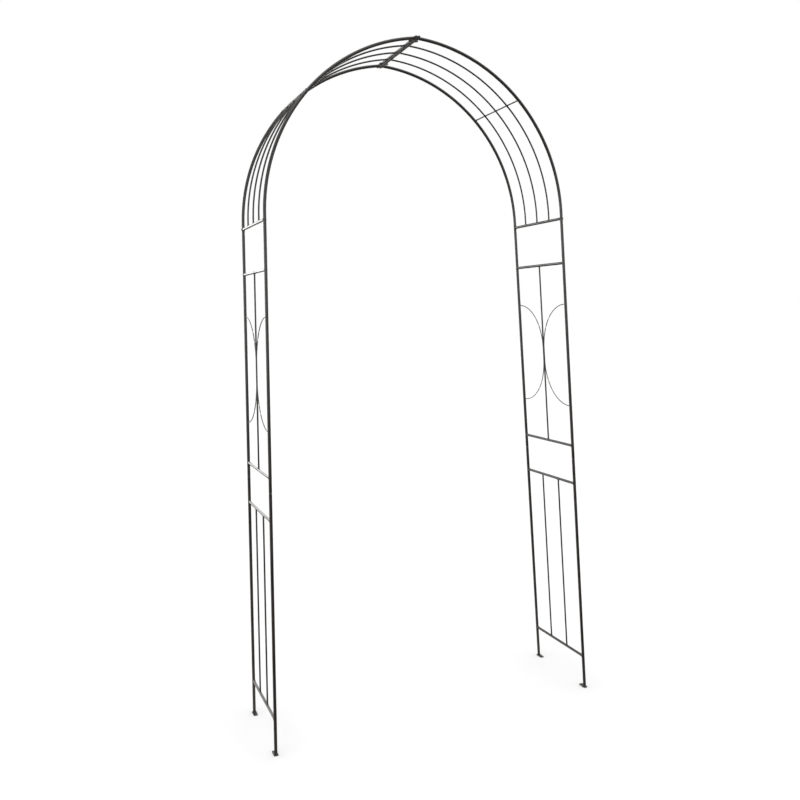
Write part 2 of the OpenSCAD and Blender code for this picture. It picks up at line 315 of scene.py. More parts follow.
def bead(loft, place, way_out, own_r, finish, size):
    """A weld bead round the end of a tube of radius own_r that meets another piece."""
    puddles = max(FEWEST_PUDDLES, round(2 * math.pi * own_r / PUDDLE))
    count = puddles * POINTS_PER_PUDDLE
    base = ring_of(place, way_out, own_r, count)
    curve = [p + way_out * end_shift(finish, p - place, way_out) for p in base]
    phase = torch.uniform(0, 2 * math.pi)
    swell = [torch.uniform(*SWELL) for _ in range(puddles)]
    rings = []
    for k, p in enumerate(curve):
        way = (curve[(k + 1) % count] - curve[k - 1]).normalized()
        away = (base[k] - place).normalized()
        over = way.cross(away).normalized()
        puddle = 2 * math.pi * k / POINTS_PER_PUDDLE + phase
        here = size * swell[k // POINTS_PER_PUDDLE] * (1 + RIPPLE * math.cos(puddle))
        ring = []
        for j in range(AROUND_BEAD):
            turn = 2 * math.pi * j / AROUND_BEAD
            ring.append(p + (away * math.cos(turn) + over * math.sin(turn)) * here)
        rings.append(ring)
    loft.add(rings, closed=True)


print("a bead round a post tube has", round(2 * math.pi * tube_r / PUDDLE), "puddles")

# %% [markdown]
# ## Tacks
#
# Where two pieces only touch along a line, a bead can't run round anything, so the welder sets a
# short tack. A stretched ball would do from afar. The tack here is a spindle with blunt ends and a
# ripple, which is how a few puddles in a row look.

# %% Tacks
TACK_STEPS = 14
TACK_BLUNTNESS = 0.6
TACK_RIPPLE = 0.1
TACK_RIPPLE_TURN = 6


def tack(loft, place, way, length, size):
    """A short spindle-shaped weld along a line of contact."""
    rings = []
    for step in range(1, TACK_STEPS):
        share = step / TACK_STEPS
        ripple = 1 + TACK_RIPPLE * math.cos(share * length / PUDDLE * TACK_RIPPLE_TURN)
        bulge = math.sin(math.pi * share) ** TACK_BLUNTNESS * ripple
        rings.append(ring_of(place + way * length * (share - 0.5), way, size * bulge, AROUND_BEAD))
    loft.add(rings)


print("a tack has", TACK_STEPS - 1, "rings of", AROUND_BEAD, "points")

# %% [markdown]
# ## Paint that is not one flat colour
#
# The arch is dip-coated in a brown-black satin paint. Close up, such paint has an orange-peel
# skin, patches that are a little glossier or browner than others, grey dust where it faces up,
# and pale rubs where the sections are pushed together. Each of these is one shader node group
# with named inputs, built once and used by several finishes with different values. The groups
# put out only masks and heights; the shader itself stays in each material, where its own fixed
# settings can be read when the model is exported.
#
# Typing out every node and link by hand soon hides what the nodes do, so a few helpers come
# first. Each makes one node, links or sets its inputs, and hands back the output to use next.

# %% Helpers for node groups
def new_group(name, inputs, outputs):
    """An empty node group with float inputs and outputs, and its two end nodes."""
    group = bpy.data.node_groups.new(name, "ShaderNodeTree")
    for label, value in inputs.items():
        socket = group.interface.new_socket(label, in_out="INPUT", socket_type="NodeSocketFloat")
        socket.default_value = value
    for label in outputs:
        group.interface.new_socket(label, in_out="OUTPUT", socket_type="NodeSocketFloat")
    return group, group.nodes.new("NodeGroupInput"), group.nodes.new("NodeGroupOutput")


def node(tree, kind, links=None, **settings):
    """A node with its settings, and its inputs linked or set from a dictionary."""
    made = tree.nodes.new(kind)
    for key, value in settings.items():
        setattr(made, key, value)
    for key, value in (links or {}).items():
        if isinstance(value, bpy.types.NodeSocket):
            tree.links.new(value, made.inputs[key])
        else:
            made.inputs[key].default_value = value
    return made


def math_node(tree, operation, first, second):
    return node(tree, "ShaderNodeMath", {0: first, 1: second}, operation=operation).outputs[0]


def noise(tree, place, scale, detail=2.0, distortion=0.0):
    links = {"Vector": place, "Scale": scale, "Detail": detail, "Distortion": distortion}
    return node(tree, "ShaderNodeTexNoise", links).outputs["Fac"]


def remap(tree, value, low, high, to_low=0.0, to_high=1.0):
    links = {"Value": value, "From Min": low, "From Max": high, "To Min": to_low, "To Max": to_high}
    return node(tree, "ShaderNodeMapRange", links, clamp=True).outputs["Result"]


def object_place(tree):
    return node(tree, "ShaderNodeTexCoord").outputs["Object"]


print("node helpers are ready")

# %% [markdown]
# ### The skin of the paint
#
# Noises at several sizes make the skin: patches as wide as a hand with smaller ones in them,
# orange peel about a millimetre and a half across, and a fine grain. The group gives a patch mask
# for colour, a roughness, and a height for the bump. Object coordinates are used because every
# piece sits at the origin of the model, so the grain has the same true size on all of them.

# %% Group: paint skin
WIDE_PATCHES, SMALL_PATCHES, GRAIN = 9.0, 60.0, 2600.0
WIDE_SHARE = 0.65
PATCH_SPAN = (0.36, 0.64)
GRAIN_HEIGHT = 0.12


def build_paint_skin():
    group, given, out = new_group(
        "paint_skin",
        {"Peel Scale": 650.0, "Peel Depth": 1.0, "Gloss Low": 0.3, "Gloss High": 0.42},
        ["Patch", "Roughness", "Height"],
    )
    place = object_place(group)
    wide = noise(group, place, WIDE_PATCHES, detail=3.0, distortion=0.4)
    small = noise(group, place, SMALL_PATCHES, detail=3.0)
    patch = math_node(group, "ADD", math_node(group, "MULTIPLY", wide, WIDE_SHARE),
                      math_node(group, "MULTIPLY", small, 1 - WIDE_SHARE))
    patch = remap(group, patch, *PATCH_SPAN)
    gloss = node(group, "ShaderNodeMapRange", {
        "Value": patch, "To Min": given.outputs["Gloss Low"], "To Max": given.outputs["Gloss High"],
    }).outputs["Result"]
    peel = noise(group, place, given.outputs["Peel Scale"], detail=1.5)
    grain = noise(group, place, GRAIN, detail=1.0)
    height = math_node(group, "ADD", math_node(group, "MULTIPLY", peel, given.outputs["Peel Depth"]),
                       math_node(group, "MULTIPLY", grain, GRAIN_HEIGHT))
    group.links.new(patch, out.inputs["Patch"])
    group.links.new(gloss, out.inputs["Roughness"])
    group.links.new(height, out.inputs["Height"])
    return group


paint_skin = build_paint_skin()
print("paint skin outputs:", [s.name for s in paint_skin.interface.items_tree if s.in_out == "OUTPUT"])

# %% [markdown]
# ### Dust and rubs
#
# Dust settles on what faces up, so its mask starts from the surface normal's upward part and is
# broken up by noise. Rubs come from the attribute called rub that the lofts carry, broken up by a
# stretched noise so that they read as short scratches along the tube.

# %% Groups: settled dust and rubs
FACES_UP = (0.2, 0.95)
DUST_CLOUD, CLOUD_SPAN = 140.0, (0.3, 0.7)
SCRATCH, SCRATCH_STRETCH = 900.0, (1.0, 1.0, 0.2)
RUBBED_SPAN = (0.95, 1.2)


def build_dust():
    group, given, out = new_group("settled_dust", {"Amount": 0.5, "Patchiness": 0.5}, ["Mask"])
    normal = node(group, "ShaderNodeNewGeometry").outputs["Normal"]
    upward = node(group, "ShaderNodeSeparateXYZ", {"Vector": normal}).outputs["Z"]
    facing = remap(group, upward, *FACES_UP)
    cloud = noise(group, object_place(group), DUST_CLOUD, detail=4.0)
    cloud = remap(group, cloud, *CLOUD_SPAN)
    broken = math_node(group, "SUBTRACT", 1.0,
                       math_node(group, "MULTIPLY", cloud, given.outputs["Patchiness"]))
    mask = math_node(group, "MULTIPLY", facing, broken)
    mask = math_node(group, "MULTIPLY", mask, given.outputs["Amount"])
    group.links.new(mask, out.inputs["Mask"])
    return group


def build_rub():
    group, given, out = new_group("rubbed_ends", {"Reach": 1.0}, ["Mask"])
    worn = node(group, "ShaderNodeAttribute", attribute_name="rub").outputs["Fac"]
    stretched = node(group, "ShaderNodeMapping",
                     {"Vector": object_place(group), "Scale": SCRATCH_STRETCH},
                     vector_type="POINT").outputs["Vector"]
    scratch = noise(group, stretched, SCRATCH, detail=3.0, distortion=0.5)
    edge = math_node(group, "MULTIPLY", worn, given.outputs["Reach"])
    mask = remap(group, math_node(group, "ADD", scratch, edge), *RUBBED_SPAN)
    group.links.new(mask, out.inputs["Mask"])
    return group


settled_dust = build_dust()
rubbed_ends = build_rub()
print("groups:", [g.name for g in bpy.data.node_groups])

# %% [markdown]
# ### What every finish needs
#
# All five finishes of the arch start from an empty material, mix colours by masks, have dust laid
# over them and end with a fine bump. These steps are helpers, so that each finish below shows only
# what makes it different.

# %% Helpers for finishes
MIX_MASK, MIX_UNDER, MIX_OVER, MIX_COLOUR = 0, 6, 7, 2
DUST_COLOUR = (0.30, 0.27, 0.235, 1)


def new_finish(name):
    """An empty material, with its node tree and its shader."""
    material = bpy.data.materials.new(name)
    material.use_nodes = True
    return material, material.node_tree, material.node_tree.nodes["Principled BSDF"]


def placed(tree, group, **values):
    """A copy of a node group in a material, with its inputs set by name."""
    made = node(tree, "ShaderNodeGroup", node_tree=group)
    for key, value in values.items():
        made.inputs[key.replace("_", " ")].default_value = value
    return made


def mix(tree, mask, under, over):
    """One colour laid over another where the mask is high."""
    links = {MIX_MASK: mask, MIX_UNDER: under, MIX_OVER: over}
    return node(tree, "ShaderNodeMix", links, data_type="RGBA").outputs[MIX_COLOUR]


def bumped(tree, shader, height, strength, depth):
    """Lets a height mask tilt the surface of a shader."""
    bump = node(tree, "ShaderNodeBump", {"Height": height, "Strength": strength, "Distance": depth})
    tree.links.new(bump.outputs["Normal"], shader.inputs["Normal"])


print("finish helpers are ready")

# %% [markdown]
# ### Satin paint
#
# All the steel has the same paint, so one function makes it, with a few values changed for the
# solid rods, whose coat is thinner, and for the beads, where the coat is rough and browner. A thin
# clear coat on the shader gives the strong shine that a tube shows when it is seen nearly end on.

# %% Paint materials
BARE_STEEL = (0.15, 0.14, 0.13, 1)
PAINT_IOR = 1.52
COAT_ROUGHNESS = 0.22
PEEL_HEIGHT = 0.06 * MM
DUST_DULLS = 0.5


def painted(name, dark, brown, gloss, peel, dust, bump, coat):
    """A satin paint: two close colours in patches, with dust, rubs and orange peel."""
    material, tree, shader = new_finish(name)
    skin = placed(tree, paint_skin, Peel_Scale=peel, Gloss_Low=gloss[0], Gloss_High=gloss[1])
    dusty = placed(tree, settled_dust, Amount=dust, Patchiness=0.7)
    rubbed = placed(tree, rubbed_ends, Reach=1.0)
    colour = mix(tree, skin.outputs["Patch"], dark, brown)
    colour = mix(tree, dusty.outputs["Mask"], colour, DUST_COLOUR)
    colour = mix(tree, rubbed.outputs["Mask"], colour, BARE_STEEL)
    tree.links.new(colour, shader.inputs["Base Color"])
    dull = math_node(tree, "MULTIPLY", dusty.outputs["Mask"], DUST_DULLS)
    rough = math_node(tree, "ADD", skin.outputs["Roughness"], dull)
    tree.links.new(rough, shader.inputs["Roughness"])
    bumped(tree, shader, skin.outputs["Height"], bump, PEEL_HEIGHT)
    shader.inputs["IOR"].default_value = PAINT_IOR
    shader.inputs["Coat Weight"].default_value = coat
    shader.inputs["Coat Roughness"].default_value = COAT_ROUGHNESS
    return material


tube_paint = painted(
    "satin_on_tube", dark=(0.008, 0.0057, 0.0047, 1), brown=(0.017, 0.0118, 0.0094, 1),
    gloss=(0.3, 0.42), peel=650.0, dust=0.035, bump=0.5, coat=0.3)
rod_paint = painted(
    "satin_on_rod", dark=(0.009, 0.0064, 0.0054, 1), brown=(0.019, 0.0133, 0.0106, 1),
    gloss=(0.34, 0.46), peel=800.0, dust=0.035, bump=0.5, coat=0.25)
bead_paint = painted(
    "satin_on_beads", dark=(0.012, 0.010, 0.009, 1), brown=(0.034, 0.023, 0.017, 1),
    gloss=(0.42, 0.58), peel=1200.0, dust=0.06, bump=0.9, coat=0.1)
print("paints:", tube_paint.name, rod_paint.name, bead_paint.name)

# %% [markdown]
# ### Zinc
#
# The bolts, nuts, washers and screws are zinc plated. Plain grey metal would look like chrome, so
# the grey is clouded with spangle: cells as the zinc crystals leave them, faded in and out by a
# noise. The same cloud also makes some places duller than others.

# %% Zinc
ZINC_DARK = (0.10, 0.10, 0.10, 1)
ZINC_PALE = (0.17, 0.165, 0.155, 1)
ZINC_ROUGHNESS = (0.32, 0.5)
SPANGLE, ZINC_CLOUD, TOOL_MARKS = 900.0, 350.0, 2200.0
MARK_DEPTH = 0.03 * MM


def zinc_plate():
    material, tree, shader = new_finish("zinc_plate")
    place = object_place(tree)
    cells = node(tree, "ShaderNodeTexVoronoi", {"Vector": place, "Scale": SPANGLE})
    cloud = remap(tree, noise(tree, place, ZINC_CLOUD, detail=3.0), *CLOUD_SPAN)
    spangle = math_node(tree, "MULTIPLY", cells.outputs["Distance"], cloud)
    dusty = placed(tree, settled_dust, Amount=0.3, Patchiness=0.8)
    colour = mix(tree, remap(tree, spangle, 0.0, 0.5), ZINC_DARK, ZINC_PALE)
    colour = mix(tree, dusty.outputs["Mask"], colour, DUST_COLOUR)
    tree.links.new(colour, shader.inputs["Base Color"])
    tree.links.new(remap(tree, cloud, 0, 1, *ZINC_ROUGHNESS), shader.inputs["Roughness"])
    shader.inputs["Metallic"].default_value = 0.9
    bumped(tree, shader, noise(tree, place, TOOL_MARKS), 0.4, MARK_DEPTH)
    return material


zinc = zinc_plate()
print("fittings:", zinc.name)

# %% [markdown]
# ### Plastic
#
# The end plugs are black moulded plastic. It is cooler in colour than the paint, duller, and has a
# slight grain from the mould. Dust holds on it better than on satin paint.

# %% Plastic
PLASTIC_DARK = (0.010, 0.010, 0.011, 1)
PLASTIC_GREY = (0.019, 0.018, 0.018, 1)
PLASTIC_ROUGHNESS = (0.5, 0.64)
PLASTIC_CLOUD, MOULD_GRAIN = 220.0, 3200.0
MOULD_DEPTH = 0.04 * MM


def moulded_plastic():
    material, tree, shader = new_finish("moulded_plastic")
    place = object_place(tree)
    cloud = noise(tree, place, PLASTIC_CLOUD, detail=3.0)
    dusty = placed(tree, settled_dust, Amount=0.35, Patchiness=0.6)
    colour = mix(tree, cloud, PLASTIC_DARK, PLASTIC_GREY)
    colour = mix(tree, dusty.outputs["Mask"], colour, DUST_COLOUR)
    tree.links.new(colour, shader.inputs["Base Color"])
    rough = remap(tree, cloud, *CLOUD_SPAN, *PLASTIC_ROUGHNESS)
    tree.links.new(rough, shader.inputs["Roughness"])
    bumped(tree, shader, noise(tree, place, MOULD_GRAIN), 0.5, MOULD_DEPTH)
    return material


plastic = moulded_plastic()
print("plugs:", plastic.name)

# %% [markdown]
# ## From loft to piece
#
# One function turns a loft into a Blender object: it makes the mesh, stores the rub values as an
# attribute, smooths the round faces while keeping true edges sharp, gives it a finish, hides the
# engineering nodes it stands in for, and hangs it on the root body of the frame.

# %% Make a piece
SHARP = math.radians(38)


def piece(name, loft, material, replaces=()):
    """A finished object from a loft, standing in for the engineering nodes it replaces."""
    mesh = bpy.data.meshes.new(name)
    mesh.from_pydata(loft.points, [], loft.faces)
    mesh.attributes.new("rub", "FLOAT", "POINT").data.foreach_set("value", loft.rubs)
    mesh.shade_smooth()
    mesh.set_sharp_from_angle(angle=SHARP)
    mesh.materials.append(material)
    made = bpy.data.objects.new(name, mesh)
    bpy.context.scene.collection.objects.link(made)
    if replaces:
        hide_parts(*replaces)
    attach(made, "root")


# %% [markdown]
# ## Foot plates
#
# Each post stands on a small flat plate that is pegged to the ground through one hole. A box with
# a hole cut out by a boolean would leave long thin faces round the hole. Rings round the hole are
# cleaner, but then the outer rings have to follow the plate's rectangle with its rounded corners.
# How far the outline is from the hole at each turn is found by halving: try the middle between a
# place inside and a place outside, keep the half with the outline in it, and go on.

# %% Outline of a foot plate
CORNER = 4 * MM
OUTSIDE = 100 * MM
HALVINGS = 26


def rectangle_reach(turn, low, high):
    """Distance from the peg hole to the rounded outline of the plate at that turn, by halving."""
    way = Vector((math.cos(turn), math.sin(turn)))
    near, far = 0.0, OUTSIDE
    for _ in range(HALVINGS):
        reach = (near + far) / 2
        x, y = way.x * reach, way.y * reach
        inner_x = min(max(x, low.x + CORNER), high.x - CORNER)
        inner_y = min(max(y, low.y + CORNER), high.y - CORNER)
        inside = math.hypot(x - inner_x, y - inner_y) < CORNER
        near, far = (reach, far) if inside else (near, reach)
    return near


print(f"the outline is found to {OUTSIDE / MM / 2 ** HALVINGS:.7f} mm")

# %% [markdown]
# With the outline known, the plate is one closed loop of rings: from the foot of the peg hole out
# along the ground, up the edge, back in over the top and down the countersink. Its edges are
# broken with a small bevel, and rubbed there, because the plates knock against each other.

# %% Foot plates
EDGE = 0.5 * MM
COUNTERSINK = 2 * EDGE
PEG_INSET = 20 * MM
PEG_HOLE_R = 3.25 * MM
AROUND_PLATE = 120
PLATE_RUBS = [0, 0.1, 0.35, 0.35, 0.1, 0.25, 0.3]


def foot_plate(name):
    low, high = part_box(name)
    inward = -1 if middle(name).y > 0 else 1
    post_y = math.copysign(half_gap, middle(name).y)
    hole = Vector((middle(name).x, post_y + inward * PEG_INSET, 0))
    turns = [2 * math.pi * k / AROUND_PLATE for k in range(AROUND_PLATE)]
    outline = [rectangle_reach(t, low - hole, high - hole) for t in turns]

    def outer(height, inset):
        return [hole + Vector((math.cos(t) * (reach - inset), math.sin(t) * (reach - inset), height))
                for t, reach in zip(turns, outline)]

    def inner(height, radius):
        return [hole + Vector((math.cos(t) * radius, math.sin(t) * radius, height)) for t in turns]

    top = high.z
    rings = [inner(0, PEG_HOLE_R), outer(0, EDGE), outer(EDGE, 0), outer(top - EDGE, 0),
             outer(top, EDGE), inner(top, PEG_HOLE_R + COUNTERSINK),
             inner(top - COUNTERSINK, PEG_HOLE_R)]
    loft = Loft()
    loft.add(rings, PLATE_RUBS, closed=True)
    piece(f"{name}_steel", loft, tube_paint, [name])


for side_name in SIDES:
    for row_name in ROWS:
        foot_plate(f"{side_name}_{row_name}_foot")
print("foot plates:", len(SIDES) * len(ROWS))

# %% [markdown]
# ## Posts
#
# A post is a tube whose top is rolled down to a neck that plugs into the next tube. The shoulder
# and the rim of the tube above nearly touch, which leaves the fine line that shows where the
# sections join. The neck could be left out, since almost all of it is hidden, but the sliver of
# rubbed steel in that line is what makes the joint look real.

# %% Posts
SEAM_GAP = 1.0 * MM
NECK_CLEARANCE = 0.15 * MM
NECK_LENGTH = 30 * MM
NECK_ROOT = 2 * MM
NECK_RUB = (0.85, 0.6)
JOINT_RUB, FOOT_RUB, WELD_RUB = 0.4, 0.15, 0.1
neck_r = tube_r - TUBE_WALL - NECK_CLEARANCE


def seam_below(name):
    """Height of the seam under an upper post or a hoop, a hair below the lowest point of its end."""
    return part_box(name)[0].z - tube_r * leg_out.z


leg_seam = seam_below("right_upper_front_post")
hoop_seam = seam_below("right_arch_front_hoop")
print(f"seams at {leg_seam / MM:.1f} and {hoop_seam / MM:.1f} mm")


def post(name, side, row, bottom, top):
    y = side * row * half_gap
    loft = Loft(side)
    stands = bottom == plate_top
    foot = on_leg(bottom, y) + leg_up * (0 if stands else SEAM_GAP / 2)
    shoulder = on_leg(top, y) - leg_up * SEAM_GAP / 2
    sweep(loft, straight(foot, shoulder), tube_r, "level" if stands else "socket", "rim",
          rub=(FOOT_RUB if stands else JOINT_RUB, JOINT_RUB))
    neck = straight(shoulder - leg_up * NECK_ROOT, shoulder + leg_up * NECK_LENGTH)
    sweep(loft, neck, neck_r, None, "rim", rub=NECK_RUB)
    piece(f"{name}_steel", loft, tube_paint, [name])


for side_name, side in SIDES.items():
    for row_name, row in ROWS.items():
        post(f"{side_name}_lower_{row_name}_post", side, row, plate_top, leg_seam)
        post(f"{side_name}_upper_{row_name}_post", side, row, leg_seam, hoop_seam)
print("posts:", 2 * len(SIDES) * len(ROWS))

# %% [markdown]
# ## Hoops
#
# Five hoops make each half of the roof. The two outer ones are tube: each starts as a straight
# socket for the neck of a post, then bends over to the crown bar. The three inner ones are solid
# rod and start on the springing bar. A full torus cut in half would be quick, but the legs lean
# in, so the bend starts at the angle of the leg and ends a little before the crown. One path does
# for both kinds: up the leg, then round the bend in steps of one degree.

# %% Hoops
ARC_STEP = math.radians(1.0)
AROUND_ROD = 24
INNER_ROWS = {"inner_front": -0.5, "inner_centre": 0.0, "inner_rear": 0.5}
crown_fit = (bar_r, ALONG)


def arch_path(first_point, y):
    """From a point on the leg, up the leg and round the bend to the side of the crown bar."""
    bend = crown_stop - bend_start
    count = round(bend / ARC_STEP)
    arc = [on_arc(bend_start + bend * k / count, y) for k in range(count + 1)]
    return straight(first_point, on_arc(bend_start, y))[:-1] + arc


def outer_hoop(name, side, row):
    y = side * row * half_gap
    loft = Loft(side)
    foot = on_leg(hoop_seam, y) + leg_up * SEAM_GAP / 2
    sweep(loft, arch_path(foot, y), tube_r, "socket", crown_fit, rub=(JOINT_RUB, WELD_RUB))
    piece(f"{name}_steel", loft, tube_paint, [name])


def inner_hoop(name, side, y):
    loft = Loft(side)
    foot = spring_bar + ALONG * y + leg_up * bar_r
    sweep(loft, arch_path(foot, y), rod_r, crown_fit, crown_fit, around=AROUND_ROD)
    piece(f"{name}_steel", loft, rod_paint, [name])


for side_name, side in SIDES.items():
    for row_name, row in ROWS.items():
        outer_hoop(f"{side_name}_arch_{row_name}_hoop", side, row)
    for row_name, share in INNER_ROWS.items():
        inner_hoop(f"{side_name}_arch_{row_name}_hoop", side, side * share * half_gap)
print("hoops:", len(SIDES) * (len(ROWS) + len(INNER_ROWS)))

# %% [markdown]
# ## Bars and rods
#
# The bars run between the posts of a leg, and the rods between the bars, all with fitted ends.
# The roof's cross rod lies over the inner hoops, so it is the one rod that is not fitted but cut
# off square.

# %% Bars and rods
AROUND_LEG_ROD = 28
post_fit = (tube_r, leg_up)
bar_fit = (bar_r, ALONG)
BARS = ["lower_bottom", "lower_top", "upper_bottom", "upper_top", "arch_spring"]
RODS = {
    "lower_front_rod": ("lower_bottom", "lower_top"),
    "lower_rear_rod": ("lower_bottom", "lower_top"),
    "upper_centre_rod": ("upper_bottom", "upper_top"),
}


def leg_bar(side_name, side, bar):
    name = f"{side_name}_{bar}_bar"
    height = middle(name).z
    reach = ALONG * (half_gap - tube_r)
    loft = Loft(side)
    sweep(loft, straight(on_leg(height) - reach, on_leg(height) + reach), bar_r, post_fit, post_fit)
    piece(f"{name}_steel", loft, tube_paint, [name])


def leg_rod(side_name, side, rod, low_bar, high_bar):
    name = f"{side_name}_{rod}"
    y = side * middle(name).y
    low = on_leg(middle(f"{side_name}_{low_bar}_bar").z, y) + leg_up * bar_r
    high = on_leg(middle(f"{side_name}_{high_bar}_bar").z, y) - leg_up * bar_r
    loft = Loft(side)
    sweep(loft, straight(low, high), rod_r, bar_fit, bar_fit, around=AROUND_LEG_ROD)
    piece(f"{name}_steel", loft, rod_paint, [name])


def cross_rod(side_name, side):
    name = f"{side_name}_arch_cross_rod"
    at = middle("right_arch_cross_rod")
    reach = ALONG * extent(name).y / 2
    loft = Loft(side)
    sweep(loft, straight(at - reach, at + reach), cross_r, "rim", "rim", around=AROUND_ROD)
    piece(f"{name}_steel", loft, rod_paint, [name])


for side_name, side in SIDES.items():
    for bar in BARS:
        leg_bar(side_name, side, bar)
    for rod, (low_bar, high_bar) in RODS.items():
        leg_rod(side_name, side, rod, low_bar, high_bar)
    cross_rod(side_name, side)
print("bars and rods:", len(SIDES) * (len(BARS) + len(RODS) + 1))

# %% [markdown]
# ## Scrolls
#
# Each scroll is one length of thin wire: a straight tail from the post, a quarter circle, a short
# straight belly along the centre rod, another quarter circle and a second tail. The path is drawn
# flat, in the plane of the leg, as steps along the rod and steps out from it. The wire is drawn
# 0.2 mm thicker all round than in the engineering model, and keeps to the same height.

# %% Scrolls
WIRE_R = 1.5 * MM
EXTRA_WIRE = 0.2 * MM
SCROLL_BELLY = 50 * MM
BEND_STEPS = 30
AROUND_WIRE = 16
wire_r = WIRE_R + EXTRA_WIRE


def scroll_sizes(name):
    """Offset of the belly from the leg's axis, bend radius and height, from the box round it."""
    low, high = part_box(name)
    belly_y = min(abs(low.y), abs(high.y)) + WIRE_R
    half_height = (high.z - low.z) / 2 / leg_up.z
    return belly_y, half_height - wire_r - SCROLL_BELLY / 2, (low.z + high.z) / 2


def scroll(side_name, side, row_name, row):
    name = f"{side_name}_upper_{row_name}_scroll"
    belly_y, bend, height = scroll_sizes(name)
    heart = on_leg(height)

    def flat(out, up):
        return heart + ALONG * side * row * out + leg_up * up

    tail_out = half_gap - tube_r
    half = [flat(belly_y, 0), flat(belly_y, SCROLL_BELLY / 4)]
    for k in range(BEND_STEPS + 1):
        a = math.pi / 2 * k / BEND_STEPS
        half.append(flat(belly_y + bend * (1 - math.cos(a)), SCROLL_BELLY / 2 + bend * math.sin(a)))
    half.append(flat(tail_out, SCROLL_BELLY / 2 + bend))
    mirrored = [heart * 2 - p + ALONG * 2 * (p - heart).y for p in half[1:]]
    loft = Loft(side)
    sweep(loft, list(reversed(mirrored)) + half, wire_r, post_fit, post_fit, around=AROUND_WIRE)
    piece(f"{name}_steel", loft, rod_paint, [name])


for side_name, side in SIDES.items():
    for row_name, row in ROWS.items():
        scroll(side_name, side, row_name, row)
_, scroll_bend, scroll_height = scroll_sizes("right_upper_rear_scroll")
print(f"scroll wire {2 * wire_r / MM:.1f} mm, bend {scroll_bend / MM:.0f} mm")

# %% [markdown]
# ## Welds of the legs
#
# Beads now go round every joint, section by section. They could be part of the bars, but their
# paint is rougher, and a separate piece keeps the bars clean. Each call repeats the finish of the
# end it covers, so the bead follows the same fish-mouth curve. The scrolls only touch the centre
# rod, so four tacks hold each of them there.

# %% Beads and tacks of a leg
TUBE_BEAD = 1.5 * MM
ROD_BEAD = 1.1 * MM
WIRE_BEAD = 0.8 * MM
SCROLL_TACK = 1.0 * MM
SCROLL_TACK_LENGTH = 9 * MM
TACK_SPACING = 0.3 * SCROLL_BELLY
BOTH_WAYS = (-1, 1)


def bar_beads(loft, height):
    for row in BOTH_WAYS:
        crest = on_leg(height) + ALONG * row * (half_gap - tube_r)
        bead(loft, crest, ALONG * row, bar_r, post_fit, TUBE_BEAD)


def rod_beads(loft, y, low, high):
    bead(loft, on_leg(low, y) + leg_up * bar_r, -leg_up, rod_r, bar_fit, ROD_BEAD)
    bead(loft, on_leg(high, y) - leg_up * bar_r, leg_up, rod_r, bar_fit, ROD_BEAD)


def scroll_welds(loft, row, end):
    """The bead at one tail of a scroll, and the two tacks on that half of its belly."""
    heart = on_leg(scroll_height)
    tail = heart + leg_up * end * (SCROLL_BELLY / 2 + scroll_bend)
    bead(loft, tail + ALONG * row * (half_gap - tube_r), ALONG * row, wire_r, post_fit, WIRE_BEAD)
    for face in BOTH_WAYS:
        line = heart + ALONG * row * rod_r + leg_out * face * wire_r
        tack(loft, line + leg_up * end * TACK_SPACING, leg_up, SCROLL_TACK_LENGTH, SCROLL_TACK)


print("bead radius on tube, rod and wire, mm:",
      [round(size / MM, 1) for size in (TUBE_BEAD, ROD_BEAD, WIRE_BEAD)])

# %% [markdown]
# A leg is two welded sections that come apart, so its welds are two pieces as well. The lower one
# also has the beads that hold the foot plates. Those joints are level and not fish-mouthed,
# because the post stands on the plate at the lean of the leg.

# %% Welds of the legs
def leg_welds(side_name, side):
    heights = {bar: middle(f"{side_name}_{bar}_bar").z for bar in BARS}
    lower = Loft(side)
    for row in BOTH_WAYS:
        bead(lower, on_leg(plate_top, row * half_gap), -leg_up, tube_r, "level", TUBE_BEAD)
    for bar in ("lower_bottom", "lower_top"):
        bar_beads(lower, heights[bar])
    for row in BOTH_WAYS:
        rod_beads(lower, row * half_gap / 3, heights["lower_bottom"], heights["lower_top"])
    piece(f"{side_name}_lower_welds", lower, bead_paint)

    upper = Loft(side)
    for bar in ("upper_bottom", "upper_top"):
        bar_beads(upper, heights[bar])
    rod_beads(upper, 0, heights["upper_bottom"], heights["upper_top"])
    for row in BOTH_WAYS:
        for end in BOTH_WAYS:
            scroll_welds(upper, row, end)
    piece(f"{side_name}_upper_welds", upper, bead_paint)


for side_name, side in SIDES.items():
    leg_welds(side_name, side)
print("weld pieces of the legs:", 2 * len(SIDES))

# %% [markdown]
# ## Welds of the roof
#
# In each half of the roof, the springing bar is welded to the outer hoops, and all five hoops to
# the crown bar. The cross rod lies on top of the inner hoops, where a bead can't go all round, so
# at each crossing it gets a short tack on its uphill and on its downhill side. Its ends meet the
# outer hoops from the side, and get a thicker tack on the same two sides.

# %% Welds of the roof
CROWN_BEAD_R = 0.96 * tube_r
CROSSING_TACK, CROSSING_TACK_LENGTH = 1.1 * MM, 5 * MM
END_TACK, END_TACK_LENGTH = 1.5 * MM, 6 * MM
CROSSING_STEP = 0.8 * cross_r
END_STEP = 0.6 * cross_r
END_REACH = half_gap - 0.8 * tube_r


def roof_welds(side_name, side):
    loft = Loft(side)
    bar_beads(loft, spring_bar.z)
    way_in = arc_way(crown_stop)
    for share in INNER_ROWS.values():
        y = share * half_gap
        bead(loft, spring_bar + ALONG * y + leg_up * bar_r, -leg_up, rod_r, bar_fit, ROD_BEAD)
        bead(loft, on_arc(crown_stop, y), way_in, rod_r, crown_fit, ROD_BEAD)
    for row in BOTH_WAYS:
        bead(loft, on_arc(crown_stop, row * half_gap), way_in, CROWN_BEAD_R, crown_fit, TUBE_BEAD)
    cross_welds(loft)
    piece(f"{side_name}_roof_welds", loft, bead_paint)


